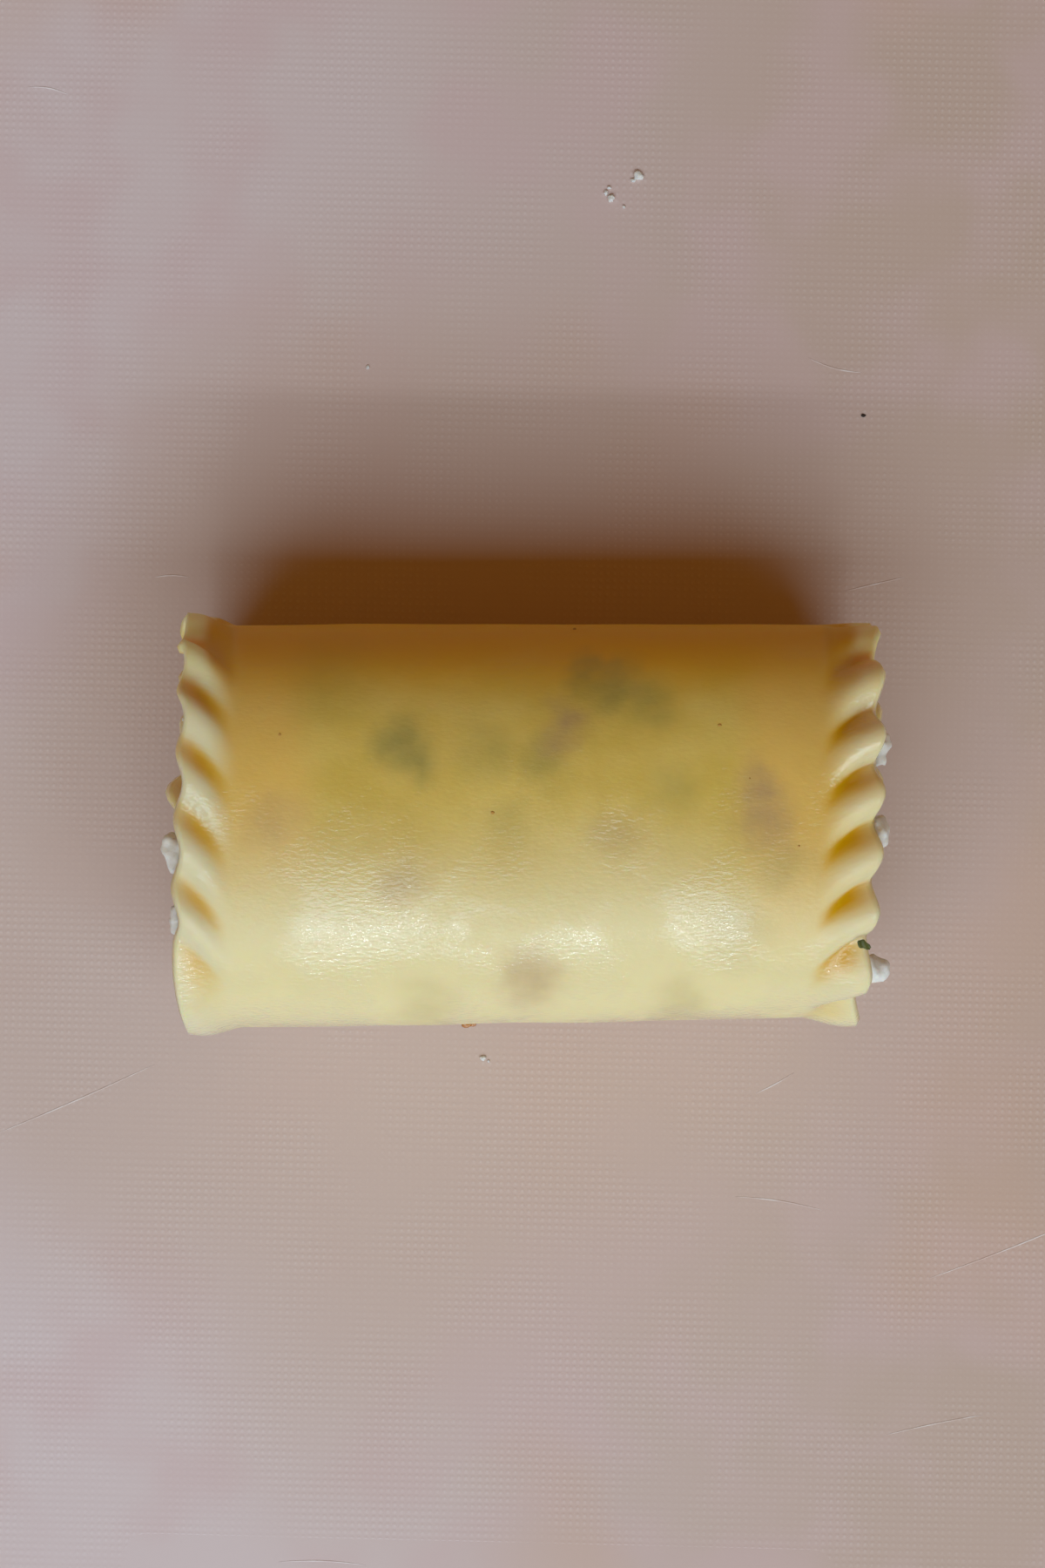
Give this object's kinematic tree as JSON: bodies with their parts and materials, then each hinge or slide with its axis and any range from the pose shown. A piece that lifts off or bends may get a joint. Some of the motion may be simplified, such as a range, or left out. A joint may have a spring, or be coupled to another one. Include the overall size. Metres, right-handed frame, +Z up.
{
  "type": "lasagna roll-up on board",
  "caption": "Boiled lasagna noodle with curled edges, spread with ricotta and herbs, rolled up and laid seam down on a small plastic cutting board, ready to bake.",
  "frame": {"origin": "middle of the board's underside", "axes": "+X to the right along the roll, +Y along the board towards its back edge, +Z up"},
  "size_m": [0.14, 0.2, 0.0398],
  "materials": {
    "boiled_pasta": "moist and slightly see-through",
    "ricotta": "moist curds",
    "board_plastic": "finely knurled, with a smooth border panel",
    "herb_leaf": "chopped and wilted",
    "ham": "moist cut face"
  },
  "bodies": {
    "root": {"cutting_board": "board_plastic", "pasta_noodle": "boiled_pasta", "ricotta_filling": "ricotta"}
  },
  "joints": []
}
